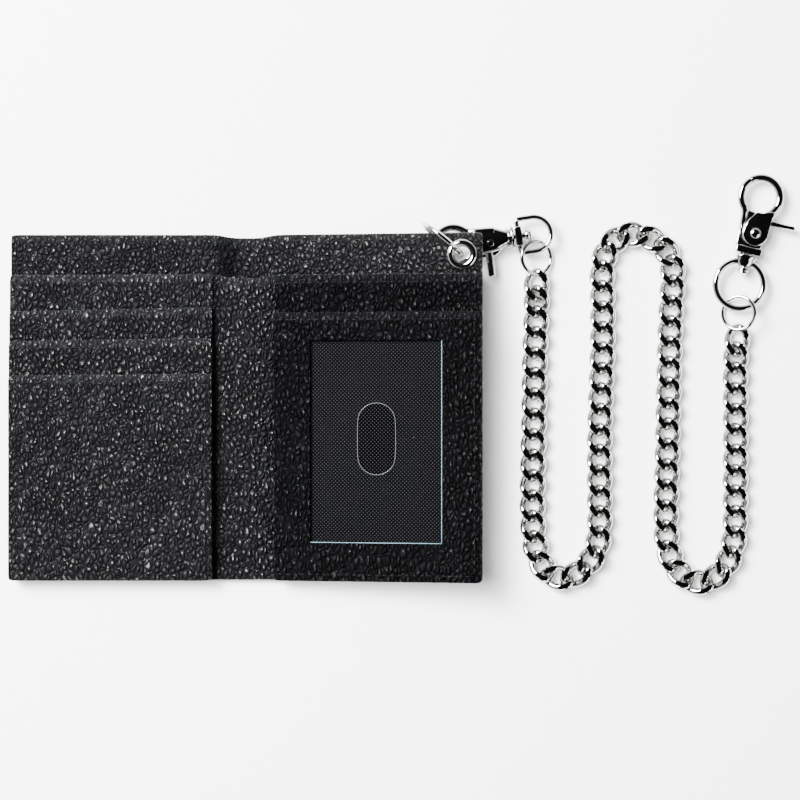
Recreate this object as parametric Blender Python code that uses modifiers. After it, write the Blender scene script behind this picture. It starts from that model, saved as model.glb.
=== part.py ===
"""Chain wallet: a leather bifold lying open, with a curb chain between two swivel trigger snaps.

Metres, +Z up. The origin is under the middle of the open wallet. The left half lies flat, and the
right half rises towards its outer edge, because the snap lies under its top corner.
"""

import math

import bmesh
import bpy
from mathutils import Matrix, Vector

# Wallet
WALLET_WIDTH = 0.168
WALLET_HEIGHT = 0.123
SPINE_WIDTH = 0.021
SPINE_LEFT = -0.0102
SPINE_RIGHT = 0.0098
SPINE_LIFT = 0.00005
RIGHT_TILT = math.radians(8)
CORNER_RADIUS = 0.002
COVER_THICKNESS = 0.0014
NOTE_GAP = 0.0005
LEATHER_THICKNESS = 0.0007
FILM_THICKNESS = 0.0003
LAYER_GAP = 0.0003
PIECE_GAP = 0.0003
CARD_LIP_HEIGHTS = (0.0477, 0.0355, 0.0247, 0.0123)
INNER_TOP = 0.0477
WINDOW_POCKET_TOP = 0.0346
WINDOW_LOW = Vector((0.0125, -0.0482))
WINDOW_HIGH = Vector((0.0593, 0.0238))
WINDOW_MARGIN = 0.004
THUMB_HOLE_CENTRE = Vector((0.0363, -0.0112))
THUMB_HOLE_SIZE = Vector((0.0134, 0.025))

# Eyelet in the top right corner of the right half, and the ring through it
EYELET_PLACE = Vector((0.0670, 0.0538))
EYELET_HOLE_RADIUS = 0.0028
EYELET_BARREL_RADIUS = 0.0033
EYELET_FLANGE_RADIUS = 0.0054
EYELET_FLANGE_HEIGHT = 0.0009
WASHER_THICKNESS = 0.0006
EYELET_RING_RADIUS = 0.0086
EYELET_RING_WIRE = 0.00085
EYELET_RING_CENTRE = Vector((0.06968, 0.05911, 0.0100))
EYELET_RING_HEADING = math.radians(-38.6)

# Trigger snap, measured from its swivel boss, with X towards the hook and the lever at -Y
SNAP_EYE_CENTRE = 0.0235
SNAP_EYE_RADIUS = 0.0069
HOOK_SEAM_ANGLE = math.radians(44.2)
TRIGGER_SEAM_ANGLE = math.radians(40.5)
TRIGGER_HEEL_ANGLE = math.radians(-148)
BODY_WIRE = 0.0012
TRIGGER_WIRE = 0.0013
SNAP_HALF_THICKNESS = 0.0024
COLLAR_START = 0.0026
COLLAR_END = 0.0052
BODY_PLATE_TOP = -0.0009
BODY_PLATE_START = 0.0045
BODY_PLATE_END = 0.0145
TRIGGER_PLATE_LOW = 0.0003
TRIGGER_PLATE_HIGH = 0.0022
TRIGGER_PLATE_RADIUS = 0.0046
TRIGGER_NECK = (
    (0.0108, 0.0034), (0.0172, -0.0016), (0.0184, -0.0042), (0.0167, -0.0054), (0.0130, -0.0052),
    (0.0098, -0.0053),
)
BELT_LEVER = (Vector((0.0142, -0.0142, -0.0016)), Vector((0.0158, -0.0046, 0.0016)))
WALLET_LEVER = (Vector((0.0102, -0.0122, -0.0016)), Vector((0.0122, -0.0048, 0.0016)))
HOOK_STEM = (
    (0.0110, 0.0036, -0.00115), (0.0140, 0.0039, -0.0009), (0.0160, 0.0041, -0.0004),
    (0.0173, 0.0043, 0), (0.0186, 0.00488, 0), (0.02005, 0.00598, 0), (0.0217, 0.00666, 0),
)
SNAP_PIVOT = Vector((0.0103, -0.00095))
RIVET_RADIUS = 0.0011
RIVET_HOLE_RADIUS = 0.0014
RIVET_HEAD_RADIUS = 0.0020
RIVET_HEAD_HEIGHT = 0.0005
SPRING_RADIUS = 0.0019
SPRING_WIRE = 0.00022
POST_RADIUS = 0.0012
POST_HOLE_RADIUS = 0.0015
POST_HEAD_RADIUS = 0.0021
POST_HEAD_START = -0.0024
POST_HEAD_END = -0.0046
POST_END = 0.0045
BOSS_HALF_THICKNESS = 0.0021
WALLET_SNAP_BOSS = Vector((0.0969, 0.0606, 0.0042))
WALLET_SNAP_HEADING = math.radians(189)
BELT_SNAP_BOSS = Vector((0.1775, 0.0518, 0.0033))
BELT_SNAP_HEADING = math.radians(76.4)

# Rings
D_RING_WIRE = 0.0008
D_RING_HALF_HEIGHT = 0.0061
D_RING_STRAIGHT = 0.0055
D_RING_BOSS = Vector((0.0012, 0.0034))
BELT_RING_RADIUS = 0.0085
BELT_RING_WIRE = 0.00115
BELT_RING_BOSS = Vector((0.0020, 0.0035))
LINK_RING_RADIUS = 0.0059
LINK_RING_WIRE = 0.0007
LINK_RING_TILT = math.radians(26)
WALLET_LINK_RING_CENTRE = Vector((0.1033, 0.0531, 0.0035))
BELT_LINK_RING_CENTRE = Vector((0.1752, 0.0334, 0.0033))

# Chain
CHAIN_WIDTH = 0.0096
CHAIN_THICKNESS = 0.0044
CHAIN_END_WIDTH = 0.0020
CHAIN_END_GAP = 0.0007
CHAIN_POINT_SPACING = 0.0065
CHAIN_HEIGHT = 0.0022
CHAIN_ROUTE = (
    ((0.1034, 0.0452), (0.1034, 0.0350), (0.1028, 0.0170), (0.1026, -0.0007), (0.1022, -0.0185),
     (0.1020, -0.0360), (0.1023, -0.0450), (0.1039, -0.0536), (0.1070, -0.0592), (0.1119, -0.0614)),
    ((0.1119, -0.0614), (0.1172, -0.0602), (0.1212, -0.0567), (0.1239, -0.0531), (0.1256, -0.0478),
     (0.1259, -0.0398), (0.1258, -0.0185), (0.1261, -0.0007), (0.1268, 0.0170), (0.1270, 0.0348),
     (0.1267, 0.0455), (0.1270, 0.0526), (0.1283, 0.0566), (0.1310, 0.0597), (0.1341, 0.0615),
     (0.1385, 0.0619)),
    ((0.1385, 0.0619), (0.1437, 0.0604), (0.1479, 0.0580), (0.1507, 0.0548), (0.1521, 0.0496),
     (0.1521, 0.0459), (0.1514, 0.0366), (0.1507, 0.0179), (0.1503, -0.0008), (0.1499, -0.0195),
     (0.1495, -0.0335), (0.1495, -0.0428), (0.1500, -0.0503), (0.1521, -0.0564), (0.1554, -0.0606),
     (0.1600, -0.0629), (0.1623, -0.0630)),
    ((0.1623, -0.0630), (0.1651, -0.0620), (0.1694, -0.0587), (0.1721, -0.0545), (0.1735, -0.0484),
     (0.1742, -0.0428), (0.1742, -0.0288), (0.1743, -0.0101), (0.1742, 0.0086), (0.1743, 0.0179),
     (0.1750, 0.0258)),
)


def clear_scene():
    for obj in list(bpy.data.objects):
        bpy.data.objects.remove(obj)


def new_collection(name, hidden=False):
    collection = bpy.data.collections.new(name)
    bpy.context.scene.collection.children.link(collection)
    collection.hide_render = hidden
    return collection


def new_material(name, colour, roughness, metallic=0.0, alpha=1.0):
    material = bpy.data.materials.new(name)
    material.use_nodes = True
    shader = material.node_tree.nodes["Principled BSDF"]
    shader.inputs["Base Color"].default_value = (*colour, 1)
    shader.inputs["Roughness"].default_value = roughness
    shader.inputs["Metallic"].default_value = metallic
    shader.inputs["Alpha"].default_value = alpha
    material.diffuse_color = (*colour, alpha)
    return material


def new_empty(name, matrix):
    empty = bpy.data.objects.new(name, None)
    empty.matrix_world = matrix
    empty.empty_display_size = 0.01
    parts.objects.link(empty)
    return empty


def new_object(name, data, material, parent=None, matrix=None):
    obj = bpy.data.objects.new(name, data)
    parts.objects.link(obj)
    if material:
        data.materials.append(material)
    if matrix:
        obj.matrix_local = matrix
    obj.parent = parent
    return obj


def as_cutter(obj):
    parts.objects.unlink(obj)
    cutters.objects.link(obj)
    obj.hide_render = True
    obj.display_type = "WIRE"
    return obj


def boolean(obj, other, operation):
    modifier = obj.modifiers.new(operation.title(), "BOOLEAN")
    modifier.operation = operation
    modifier.object = as_cutter(other)


def finished_mesh(shape, name):
    mesh = bpy.data.meshes.new(name)
    shape.to_mesh(mesh)
    shape.free()
    return mesh


def sheet_mesh(name, low, high, corner_radius=0.0):
    """A flat box between two corners, with its four upright edges rounded."""
    low, high = Vector(low), Vector(high)
    shape = bmesh.new()
    place = Matrix.Translation((low + high) / 2) @ Matrix.Diagonal((*(high - low), 1))
    bmesh.ops.create_cube(shape, size=1, matrix=place)
    if corner_radius:
        upright = [e for e in shape.edges if abs(e.verts[0].co.z - e.verts[1].co.z) > 1e-6]
        bmesh.ops.bevel(
            shape, geom=upright, offset=corner_radius, segments=3, affect="EDGES", profile=0.5
        )
    return finished_mesh(shape, name)


def cylinder_mesh(name, radius, low, high, segments=24, axis="Z", centre=(0, 0)):
    """A closed cylinder from low to high along an axis. The centre is where it crosses the other two."""
    shape = bmesh.new()
    bmesh.ops.create_cone(
        shape, cap_ends=True, segments=segments, radius1=radius, radius2=radius, depth=high - low
    )
    middle = (low + high) / 2
    if axis == "X":
        turn = Matrix.Rotation(math.pi / 2, 4, "Y")
        place = Matrix.Translation((middle, *centre)) @ turn
    elif axis == "Y":
        turn = Matrix.Rotation(math.pi / 2, 4, "X")
        place = Matrix.Translation((centre[0], middle, centre[1])) @ turn
    else:
        place = Matrix.Translation((*centre, middle))
    shape.transform(place)
    return finished_mesh(shape, name)


def turned_object(name, profile, material, parent, matrix, segments=32):
    """A closed ring: the profile's (radius, height) points turned round Z."""
    shape = bmesh.new()
    points = [shape.verts.new((radius, 0, height)) for radius, height in profile]
    for first, second in zip(points, points[1:] + points[:1]):
        shape.edges.new((first, second))
    obj = new_object(name, finished_mesh(shape, name), material, parent, matrix)
    screw = obj.modifiers.new("Turn", "SCREW")
    screw.steps = segments
    screw.render_steps = segments
    screw.use_merge_vertices = True
    screw.merge_threshold = 0.00001
    return obj


def smooth(mesh):
    mesh.shade_smooth()
    mesh.set_sharp_from_angle(angle=math.radians(35))


def tube_mesh(name, points, radius, closed=False, sides_resolution=2, radii=None):
    """A round wire along the points, made a mesh so that it can be cut or joined."""
    curve = bpy.data.curves.new(name + "_route", "CURVE")
    curve.dimensions = "3D"
    spline = curve.splines.new("POLY")
    spline.points.add(len(points) - 1)
    for index, point in enumerate(points):
        spline.points[index].co = (*point, 1)
        spline.points[index].radius = radii[index] if radii else 1.0
    spline.use_cyclic_u = closed
    curve.bevel_depth = radius
    curve.bevel_resolution = sides_resolution
    curve.use_fill_caps = not closed
    guide = bpy.data.objects.new(name + "_route", curve)
    parts.objects.link(guide)
    graph = bpy.context.evaluated_depsgraph_get()
    mesh = bpy.data.meshes.new_from_object(guide.evaluated_get(graph))
    bpy.data.objects.remove(guide)
    shape = bmesh.new()
    shape.from_mesh(mesh)
    bmesh.ops.remove_doubles(shape, verts=shape.verts, dist=1e-6)
    bmesh.ops.recalc_face_normals(shape, faces=shape.faces)
    shape.to_mesh(mesh)
    shape.free()
    smooth(mesh)
    return mesh


def arc_points(centre, radius, start, end, count):
    """Points on a level arc from one angle to another."""
    angles = [start + (end - start) * i / (count - 1) for i in range(count)]
    return [
        Vector((centre[0] + radius * math.cos(a), centre[1] + radius * math.sin(a), centre[2]))
        for a in angles
    ]


def ring_mesh(name, radius, wire, count=32):
    """A round ring of wire, level, with its centre at the origin."""
    step = 2 * math.pi / count
    points = arc_points((0, 0, 0), radius, 0, 2 * math.pi - step, count)
    return tube_mesh(name, points, wire, closed=True)


def layer(index, thickness):
    """The lowest and highest height of the leather layer with this index above the cover."""
    low = COVER_THICKNESS + NOTE_GAP + index * (LEATHER_THICKNESS + LAYER_GAP)
    return low, low + thickness


def make_left_half():
    """Outer cover, note divider and four card pockets, each a step lower and nearer the viewer."""
    outer = -WALLET_WIDTH / 2
    inner = -SPINE_WIDTH / 2
    bottom = -WALLET_HEIGHT / 2
    top = WALLET_HEIGHT / 2
    mesh = sheet_mesh(
        "left_cover", (outer, bottom, 0), (inner, top, COVER_THICKNESS), CORNER_RADIUS
    )
    new_object("left_cover", mesh, leather)
    low, high = layer(0, LEATHER_THICKNESS)
    mesh = sheet_mesh("left_divider", (outer, bottom, low), (inner, INNER_TOP, high), CORNER_RADIUS)
    new_object("left_divider", mesh, leather)
    for index, lip in enumerate(CARD_LIP_HEIGHTS):
        name = f"card_pocket_{index + 1}"
        low, high = layer(index + 1, LEATHER_THICKNESS)
        mesh = sheet_mesh(name, (outer, bottom, low), (inner, lip, high), CORNER_RADIUS)
        new_object(name, mesh, leather)


def make_spine():
    """The two strips of leather that bend when the wallet is folded."""
    bottom = -WALLET_HEIGHT / 2
    mesh = sheet_mesh(
        "spine_cover", (SPINE_LEFT, bottom, SPINE_LIFT), (SPINE_RIGHT, -bottom, COVER_THICKNESS)
    )
    new_object("spine_cover", mesh, leather)
    low, high = layer(0, LEATHER_THICKNESS)
    mesh = sheet_mesh("spine_divider", (SPINE_LEFT, bottom, low), (SPINE_RIGHT, INNER_TOP, high))
    new_object("spine_divider", mesh, leather)


def make_right_half():
    """Cover with the eyelet's hole, divider, slip pocket, and the window pocket of three layers."""
    place = Matrix.Translation((SPINE_WIDTH / 2, 0, 0)) @ Matrix.Rotation(-RIGHT_TILT, 4, "Y")
    half = new_empty("right_half", place)
    outer = (WALLET_WIDTH - SPINE_WIDTH) / 2 / math.cos(RIGHT_TILT)
    inner = 0
    bottom = -WALLET_HEIGHT / 2
    top = WALLET_HEIGHT / 2
    mesh = sheet_mesh(
        "right_cover", (inner, bottom, 0), (outer, top, COVER_THICKNESS), CORNER_RADIUS
    )
    cover = new_object("right_cover", mesh, leather, half)
    hole = cylinder_mesh(
        "eyelet_hole", EYELET_BARREL_RADIUS + PIECE_GAP, -0.002, 0.004, centre=EYELET_PLACE
    )
    boolean(cover, new_object("eyelet_hole", hole, None, half), "DIFFERENCE")
    layers = (
        ("right_divider", INNER_TOP, 0, LEATHER_THICKNESS, leather),
        ("slip_pocket", INNER_TOP, 1, LEATHER_THICKNESS, leather),
        ("window_lining", WINDOW_POCKET_TOP - 0.001, 2, LEATHER_THICKNESS, lining),
    )
    for name, lip, index, thickness, material in layers:
        low, high = layer(index, thickness)
        mesh = sheet_mesh(name, (inner, bottom, low), (outer, lip, high), CORNER_RADIUS)
        new_object(name, mesh, material, half)
    make_window_film(half)
    low = layer(3, 0)[0] + FILM_THICKNESS + LAYER_GAP
    mesh = sheet_mesh(
        "window_frame", (inner, bottom, low),
        (outer, WINDOW_POCKET_TOP, low + LEATHER_THICKNESS), CORNER_RADIUS,
    )
    frame = new_object("window_frame", mesh, leather, half)
    mesh = sheet_mesh(
        "window_opening", (*WINDOW_LOW, low - 0.002), (*WINDOW_HIGH, low + 0.004), 0.001
    )
    boolean(frame, new_object("window_opening", mesh, None, half), "DIFFERENCE")
    return half


def make_window_film(half):
    """Clear film a little larger than the window, with an oval hole for the thumb."""
    low, high = layer(3, FILM_THICKNESS)
    margin = Vector((WINDOW_MARGIN, WINDOW_MARGIN))
    mesh = sheet_mesh("window_film", (*WINDOW_LOW - margin, low), (*WINDOW_HIGH + margin, high))
    film = new_object("window_film", mesh, clear_film, half)
    mesh = cylinder_mesh("thumb_hole", 0.5, low - 0.001, high + 0.001)
    shape = Matrix.Diagonal((*THUMB_HOLE_SIZE, 1, 1))
    mesh.transform(Matrix.Translation((*THUMB_HOLE_CENTRE, 0)) @ shape)
    boolean(film, new_object("thumb_hole", mesh, None, half), "DIFFERENCE")


def make_eyelet(half):
    """Flanged barrel from the front and a flat washer on the back, both round the same hole."""
    place = Matrix.Translation((*EYELET_PLACE, 0))
    flange_low = COVER_THICKNESS + 0.0001
    barrel_low = -WASHER_THICKNESS - 0.0003
    profile = (
        (EYELET_BARREL_RADIUS, flange_low),
        (EYELET_FLANGE_RADIUS, flange_low),
        (EYELET_FLANGE_RADIUS - 0.0002, flange_low + EYELET_FLANGE_HEIGHT * 0.6),
        ((EYELET_FLANGE_RADIUS + EYELET_HOLE_RADIUS) / 2, flange_low + EYELET_FLANGE_HEIGHT),
        (EYELET_HOLE_RADIUS, flange_low + EYELET_FLANGE_HEIGHT * 0.5),
        (EYELET_HOLE_RADIUS, barrel_low),
        (EYELET_BARREL_RADIUS, barrel_low),
    )
    turned_object("eyelet", profile[::-1], steel, half, place)
    inner = EYELET_BARREL_RADIUS + PIECE_GAP / 2
    profile = (
        (EYELET_FLANGE_RADIUS, -0.0001),
        (EYELET_FLANGE_RADIUS, -0.0001 - WASHER_THICKNESS),
        (inner, -0.0001 - WASHER_THICKNESS),
        (inner, -0.0001),
    )
    turned_object("eyelet_washer", profile, steel, half, place)


def make_eyelet_ring():
    """Upright ring through the eyelet, round the top edge of the leather and down under it."""
    turn = Matrix.Rotation(EYELET_RING_HEADING, 4, "Z") @ Matrix.Rotation(math.pi / 2, 4, "X")
    place = Matrix.Translation(EYELET_RING_CENTRE) @ turn
    mesh = ring_mesh("eyelet_ring", EYELET_RING_RADIUS, EYELET_RING_WIRE)
    new_object("eyelet_ring", mesh, steel, None, place)


def eye_points(start, end, count):
    """Points round the hook's eye between two angles."""
    return arc_points((SNAP_EYE_CENTRE, 0, 0), SNAP_EYE_RADIUS, start, end, count)


def union(obj, mesh):
    boolean(obj, new_object(mesh.name, mesh, None, obj.parent), "UNION")


def cut(obj, mesh):
    boolean(obj, new_object(mesh.name, mesh, None, obj.parent), "DIFFERENCE")


def prism_mesh(name, outline, low, high):
    """The outline's points, given anticlockwise, extruded from low to high."""
    shape = bmesh.new()
    face = shape.faces.new([shape.verts.new((*point, low)) for point in outline])
    extruded = bmesh.ops.extrude_face_region(shape, geom=[face])["geom"]
    raised = [v for v in extruded if isinstance(v, bmesh.types.BMVert)]
    bmesh.ops.translate(shape, verts=raised, vec=(0, 0, high - low))
    bmesh.ops.recalc_face_normals(shape, faces=shape.faces)
    return finished_mesh(shape, name)


def make_snap_body(name, frame):
    """Collar, back plate and the fixed part of the hook in one casting."""
    mesh = sheet_mesh(
        name, (COLLAR_START, -0.0046, -0.0022), (COLLAR_END, 0.0046, SNAP_HALF_THICKNESS), 0.0008
    )
    body = new_object(name, mesh, steel, frame)
    mesh = sheet_mesh(
        name + "_plate", (BODY_PLATE_START, -0.0042, -SNAP_HALF_THICKNESS),
        (BODY_PLATE_END, 0.0048, BODY_PLATE_TOP),
    )
    union(body, mesh)
    points = [Vector(p) for p in HOOK_STEM] + eye_points(math.pi / 2, HOOK_SEAM_ANGLE, 4)
    union(body, tube_mesh(name + "_hook", points, BODY_WIRE))
    cut(body, cylinder_mesh(name + "_socket", POST_HOLE_RADIUS, 0.0010, 0.0070, 16, "X"))
    cut(body, cylinder_mesh(name + "_hole", RIVET_HOLE_RADIUS, -0.005, 0.005, 16, "Z", SNAP_PIVOT))


def make_trigger(name, frame, lever_box):
    """Round plate on the rivet, the sprung part of the hook, and the thumb lever."""
    place = Matrix.Translation((*SNAP_PIVOT, 0))
    centred = place.inverted()
    mesh = cylinder_mesh(name, TRIGGER_PLATE_RADIUS, TRIGGER_PLATE_LOW, TRIGGER_PLATE_HIGH)
    trigger = new_object(name, mesh, steel, frame, place)
    neck = prism_mesh(
        name + "_neck", TRIGGER_NECK[::-1], TRIGGER_PLATE_LOW + 0.0001, TRIGGER_PLATE_HIGH - 0.0001
    )
    points = eye_points(TRIGGER_HEEL_ANGLE, TRIGGER_SEAM_ANGLE, 17)
    hook = tube_mesh(name + "_hook", points, TRIGGER_WIRE)
    lever = sheet_mesh(name + "_lever", *lever_box)
    for mesh in (neck, hook, lever):
        piece = new_object(mesh.name, mesh, None, frame)
        boolean(trigger, piece, "UNION")
    hole = cylinder_mesh(name + "_hole", RIVET_HOLE_RADIUS, -0.005, 0.005, 16, "Z", SNAP_PIVOT)
    boolean(trigger, new_object(hole.name, hole, None, frame), "DIFFERENCE")


def make_rivet(name, frame):
    """Shank with a domed head at each end, turned in one piece."""
    top = SNAP_HALF_THICKNESS + 0.0001
    profile = (
        (0, top + RIVET_HEAD_HEIGHT),
        (RIVET_HEAD_RADIUS * 0.6, top + RIVET_HEAD_HEIGHT * 0.9),
        (RIVET_HEAD_RADIUS, top),
        (RIVET_RADIUS, top),
        (RIVET_RADIUS, -top),
        (RIVET_HEAD_RADIUS, -top - 0.0001),
        (RIVET_HEAD_RADIUS * 0.6, -top - RIVET_HEAD_HEIGHT * 0.9),
        (0, -top - RIVET_HEAD_HEIGHT),
    )
    solid_of_revolution(name, profile, frame, Matrix.Translation((*SNAP_PIVOT, 0)))


def solid_of_revolution(name, profile, frame, place, segments=20):
    """A solid whose profile of (radius, height) points starts and ends on the axis."""
    shape = bmesh.new()
    points = [shape.verts.new((radius, 0, height)) for radius, height in profile]
    edges = [shape.edges.new(pair) for pair in zip(points, points[1:])]
    bmesh.ops.spin(
        shape, geom=points + edges, cent=(0, 0, 0), axis=(0, 0, 1), angle=2 * math.pi,
        steps=segments,
    )
    bmesh.ops.remove_doubles(shape, verts=shape.verts, dist=1e-6)
    bmesh.ops.recalc_face_normals(shape, faces=shape.faces)
    mesh = finished_mesh(shape, name)
    smooth(mesh)
    return new_object(name, mesh, steel, frame, place)


def make_spring(name, frame):
    """Open coil of wire round the rivet, between the body's plate and the trigger."""
    centre = (*SNAP_PIVOT, (BODY_PLATE_TOP + TRIGGER_PLATE_LOW) / 2)
    points = arc_points(centre, SPRING_RADIUS, math.radians(20), math.radians(320), 16)
    new_object(name, tube_mesh(name, points, SPRING_WIRE, sides_resolution=1), steel, frame)


def make_swivel_post(name, frame):
    """Pin held in the collar, through the boss, with its head inside the ring."""
    profile = (
        (0, POST_END),
        (POST_RADIUS, POST_END),
        (POST_RADIUS, POST_HEAD_START),
        (POST_HEAD_RADIUS, POST_HEAD_START),
        (POST_HEAD_RADIUS * 0.8, POST_HEAD_END + 0.0004),
        (0, POST_HEAD_END),
    )
    solid_of_revolution(name, profile, frame, Matrix.Rotation(math.pi / 2, 4, "Y"))


def make_swivel_ring(name, wire_mesh, frame, boss_half):
    """A ring with a square boss on it, bored for the swivel post."""
    ring = new_object(name, wire_mesh, steel, frame)
    low = (-boss_half.x, -boss_half.y, -BOSS_HALF_THICKNESS)
    union(ring, sheet_mesh(name + "_boss", low, [-side for side in low]))
    cut(ring, cylinder_mesh(name + "_bore", POST_HOLE_RADIUS, -0.0035, 0.0035, 16, "X"))


def d_ring_mesh(name):
    """Straight bar through the boss, two short arms and a half circle away from the hook."""
    bend = arc_points(
        (-D_RING_STRAIGHT, 0, 0), D_RING_HALF_HEIGHT, math.pi / 2, math.pi * 1.5, 13
    )
    corner = D_RING_HALF_HEIGHT
    points = [Vector((0, -corner, 0)), Vector((0, corner, 0)), *bend]
    return tube_mesh(name, points, D_RING_WIRE, closed=True)


def make_snap(prefix, frame, lever_box):
    make_snap_body(prefix + "_body", frame)
    make_trigger(prefix + "_trigger", frame, lever_box)
    make_rivet(prefix + "_rivet", frame)
    make_spring(prefix + "_spring", frame)
    make_swivel_post(prefix + "_post", frame)


def make_wallet_snap():
    """The snap under the wallet's corner lies on its face, so its lever points down the page."""
    turn = Matrix.Rotation(WALLET_SNAP_HEADING, 4, "Z") @ Matrix.Rotation(math.pi, 4, "X")
    frame = new_empty("wallet_snap", Matrix.Translation(WALLET_SNAP_BOSS) @ turn)
    make_snap("wallet_snap", frame, WALLET_LEVER)
    make_swivel_ring("d_ring", d_ring_mesh("d_ring"), frame, D_RING_BOSS)


def make_belt_snap():
    place = Matrix.Translation(BELT_SNAP_BOSS) @ Matrix.Rotation(BELT_SNAP_HEADING, 4, "Z")
    frame = new_empty("belt_snap", place)
    make_snap("belt_snap", frame, BELT_LEVER)
    mesh = ring_mesh("belt_swivel_ring", BELT_RING_RADIUS, BELT_RING_WIRE)
    mesh.transform(Matrix.Translation((-BELT_RING_RADIUS, 0, 0)))
    make_swivel_ring("belt_swivel_ring", mesh, frame, BELT_RING_BOSS)


def make_link_ring(name, centre, tilt):
    """A jump ring, tilted so that it passes over its neighbour on one side and under on the other."""
    mesh = ring_mesh(name, LINK_RING_RADIUS, LINK_RING_WIRE, 24)
    turn = Matrix.Rotation(tilt, 4, "Y")
    new_object(name, mesh, steel, None, Matrix.Translation(centre) @ turn)


def smooth_route(points, spacing):
    """Points at even spacing on a smooth curve through the given ones (Catmull-Rom)."""
    points = [Vector(p) for p in points]
    first = points[0] * 2 - points[1]
    last = points[-1] * 2 - points[-2]
    ends = [first, *points, last]
    dense = [points[0]]
    for p0, p1, p2, p3 in zip(ends, ends[1:], ends[2:], ends[3:]):
        for step in range(1, 21):
            t = step / 20
            dense.append(
                0.5 * (
                    2 * p1 + (p2 - p0) * t + (2 * p0 - 5 * p1 + 4 * p2 - p3) * t * t
                    + (3 * p1 - p0 - 3 * p2 + p3) * t * t * t
                )
            )
    lengths = [0.0]
    for a, b in zip(dense, dense[1:]):
        lengths.append(lengths[-1] + (b - a).length)
    count = round(lengths[-1] / spacing)
    even = []
    index = 0
    for step in range(count + 1):
        target = lengths[-1] * step / count
        while index < len(dense) - 2 and lengths[index + 1] < target:
            index += 1
        share = (target - lengths[index]) / (lengths[index + 1] - lengths[index])
        even.append(dense[index].lerp(dense[index + 1], min(share, 1.0)))
    return even, lengths[-1]


def make_chain_run(name, route):
    """One run of the chain as a flattened tube of its outer width, drawn in at both ends."""
    points, length = smooth_route(route, CHAIN_POINT_SPACING)
    step = length / (len(points) - 1)
    shorten = CHAIN_END_GAP / step
    points[0] = points[0].lerp(points[1], shorten)
    points[-1] = points[-1].lerp(points[-2], shorten)
    radii = [1.0] * len(points)
    radii[0] = radii[-1] = CHAIN_END_WIDTH / CHAIN_WIDTH
    mesh = tube_mesh(
        name, [(*p, 0) for p in points], CHAIN_WIDTH / 2, sides_resolution=2, radii=radii
    )
    mesh.transform(Matrix.Diagonal((1, 1, CHAIN_THICKNESS / CHAIN_WIDTH, 1)))
    place = Matrix.Translation((0, 0, CHAIN_HEIGHT))
    new_object(name, mesh, steel, None, place)


clear_scene()
parts = new_collection("chain_wallet")
cutters = new_collection("cutters", hidden=True)
leather = new_material("pebbled_leather", (0.012, 0.012, 0.014), 0.55)
lining = new_material("woven_lining", (0.02, 0.02, 0.022), 0.8)
clear_film = new_material("clear_film", (0.75, 0.78, 0.8), 0.1, alpha=0.3)
steel = new_material("plated_steel", (0.78, 0.77, 0.75), 0.15, 1.0)

make_left_half()
make_spine()
right_half = make_right_half()
make_eyelet(right_half)
make_eyelet_ring()
make_wallet_snap()
make_belt_snap()
make_link_ring("wallet_link_ring", WALLET_LINK_RING_CENTRE, LINK_RING_TILT)
make_link_ring("belt_link_ring", BELT_LINK_RING_CENTRE, -LINK_RING_TILT)
for number, run in enumerate(CHAIN_ROUTE, 1):
    make_chain_run(f"chain_run_{number}", run)
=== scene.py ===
import math

import bpy
import numpy as np
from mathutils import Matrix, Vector


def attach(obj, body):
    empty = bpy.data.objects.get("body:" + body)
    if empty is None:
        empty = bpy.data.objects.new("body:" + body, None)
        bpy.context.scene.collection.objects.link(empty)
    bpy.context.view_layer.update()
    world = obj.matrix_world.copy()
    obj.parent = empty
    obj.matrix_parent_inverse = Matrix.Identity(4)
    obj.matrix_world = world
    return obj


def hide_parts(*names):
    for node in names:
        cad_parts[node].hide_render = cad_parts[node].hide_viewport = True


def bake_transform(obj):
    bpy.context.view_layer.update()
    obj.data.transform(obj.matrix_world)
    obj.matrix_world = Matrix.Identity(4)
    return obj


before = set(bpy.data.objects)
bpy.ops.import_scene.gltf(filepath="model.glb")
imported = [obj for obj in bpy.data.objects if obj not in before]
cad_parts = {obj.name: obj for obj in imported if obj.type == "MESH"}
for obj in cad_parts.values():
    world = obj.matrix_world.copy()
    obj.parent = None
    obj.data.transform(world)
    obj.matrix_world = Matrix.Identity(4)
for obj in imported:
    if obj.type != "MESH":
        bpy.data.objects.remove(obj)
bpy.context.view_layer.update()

mm = 0.001

# lie of the open wallet: flat to the left, rising to the right over the snap
wallet = {
    "left": -84.0, "right": 84.72, "low": -61.5, "top": 61.5,
    "hinge": 10.5, "tilt": 8.0, "bendWidth": 7.0,
    "spineLeft": -10.5, "spineRight": 10.5, "dip": 1.2, "dipWidth": 8.5,
}
bendTable = np.linspace(-90, 90, 3601)
bendAngle = np.clip((bendTable - wallet["hinge"]) / wallet["bendWidth"] + 0.5, 0, 1)
bendAngle = math.radians(wallet["tilt"]) * bendAngle ** 2 * (3 - 2 * bendAngle)
bendStep = bendTable[1] - bendTable[0]
bendX = np.cumsum(np.cos(bendAngle)) * bendStep
bendZ = np.cumsum(np.sin(bendAngle)) * bendStep
bendX += bendTable[0] - bendX[0]


# a point of the wallet from its distance across the leather, its y and its height above the cover's
# underside: the cover's line is walked with the angle that it has at each step
def onWallet(across, y, height):
    angle = np.interp(across, bendTable, bendAngle)
    x = np.interp(across, bendTable, bendX) - np.sin(angle) * height
    z = np.interp(across, bendTable, bendZ) + np.cos(angle) * height
    return np.stack([x, y + 0 * x, z], axis=-1) * mm


# a point given in the right half's own plane
def onRightHalf(points):
    tilt = math.radians(wallet["tilt"])
    x = wallet["hinge"] + points[..., 0] * math.cos(tilt) - points[..., 2] * math.sin(tilt)
    z = points[..., 0] * math.sin(tilt) + points[..., 2] * math.cos(tilt)
    return np.stack([x, points[..., 1], z], axis=-1)


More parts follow.
